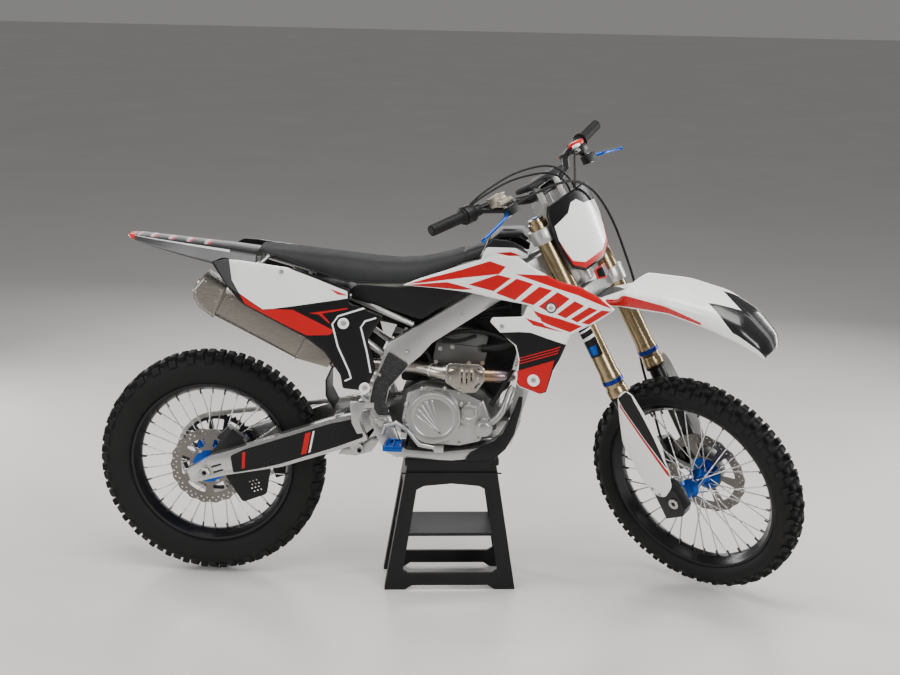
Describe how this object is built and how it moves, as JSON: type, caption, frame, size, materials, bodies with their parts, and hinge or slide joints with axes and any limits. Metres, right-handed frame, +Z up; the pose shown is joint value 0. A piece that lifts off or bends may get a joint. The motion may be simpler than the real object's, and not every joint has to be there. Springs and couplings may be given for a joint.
{
  "type": "dirt bike",
  "caption": "Motocross dirt bike parked on a plastic paddock stand, steering turned to the right lock, with spinning wheels and a turning fork.",
  "frame": {"origin": "on the floor under the middle of the overall box; the machine's own centre plane lies 13 mm to the right of it because the left end of the turned handlebar reaches further out", "axes": "+X forward along the machine, +Y to the rider's left, +Z up"},
  "size_m": [2.1436, 0.7326, 1.3956],
  "materials": {
    "cast_aluminium": "satin cast and brushed",
    "frame_grip": "moulded grip texture",
    "engine_metal": "cast",
    "cover_metal": "bead blasted",
    "titanium": "brushed and heat tinted",
    "steel": "brushed",
    "blue_anodised": "anodised",
    "gold_anodised": "anodised",
    "black_plastic": "moulded",
    "white_plastic": "glossy",
    "red_white_plastic": "glossy with printed stripes",
    "seat_cover": "grained gripper cover",
    "tyre_rubber": "knobbed",
    "black_metal": "anodised satin",
    "hose_rubber": "smooth",
    "natural_tank": "translucent white"
  },
  "bodies": {
    "frame": {"main_frame": "cast_aluminium", "subframe": "cast_aluminium", "frame_guards": "frame_grip", "engine": "engine_metal", "engine_covers": "cover_metal", "radiators": "cast_aluminium", "coolant_pipes": "cover_metal", "exhaust_header": "titanium", "silencer": "titanium", "swingarm": "cast_aluminium", "pivot_bolt": "steel", "rear_axle": "steel", "rear_caliper": "black_metal", "rear_disc_guard": "black_plastic", "drive_chain": "steel", "chain_guide": "black_plastic", "shock_linkage": "cast_aluminium", "rear_shock": "cast_aluminium", "footpegs": "blue_anodised", "brake_pedal": "cast_aluminium", "rear_master_cylinder": "black_metal", "shift_lever": "cast_aluminium", "seat": "seat_cover", "fuel_tank": "natural_tank", "air_box": "black_plastic", "tank_covers": "black_plastic", "top_cover": "white_plastic", "radiator_shrouds": "red_white_plastic", "side_panels": "white_plastic", "rear_fender": "black_plastic", "mud_flap": "black_plastic", "engine_guard": "black_plastic", "paddock_stand": "black_plastic"},
    "steering": {"triple_clamps": "cast_aluminium", "fork_tubes": "gold_anodised", "fork_sliders": "black_metal", "fork_guards": "white_plastic", "front_axle": "steel", "front_fender": "white_plastic", "front_number_plate": "white_plastic", "handlebar": "black_metal", "bar_pad": "black_plastic", "grips": "frame_grip", "hand_controls": "black_metal", "hand_levers": "blue_anodised", "front_caliper": "black_metal", "brake_hose": "hose_rubber", "control_cables": "hose_rubber"},
    "front_wheel": {"front_tyre": "tyre_rubber", "front_rim": "black_metal", "front_hub": "blue_anodised", "front_spokes": "steel", "front_disc": "steel"},
    "rear_wheel": {"rear_tyre": "tyre_rubber", "rear_rim": "black_metal", "rear_hub": "blue_anodised", "rear_spokes": "steel", "rear_disc": "steel", "rear_sprocket": "black_metal"}
  },
  "joints": [
    {"name": "steering", "type": "hinge", "parent": "frame", "child": "steering", "pos_m": [0.73, -0.013, 0.336], "axis": [-0.454, 0, 0.891], "range_deg": [0, 74]},
    {"name": "front_wheel_spin", "type": "hinge", "parent": "steering", "child": "front_wheel", "pos_m": [0.76914, -0.0461, 0.35594], "axis": [0.5362, 0.7986, 0.2732], "continuous": true},
    {"name": "rear_wheel_spin", "type": "hinge", "parent": "frame", "child": "rear_wheel", "pos_m": [-0.71065, -0.013, 0.35577], "axis": [0, 1, 0], "continuous": true}
  ]
}
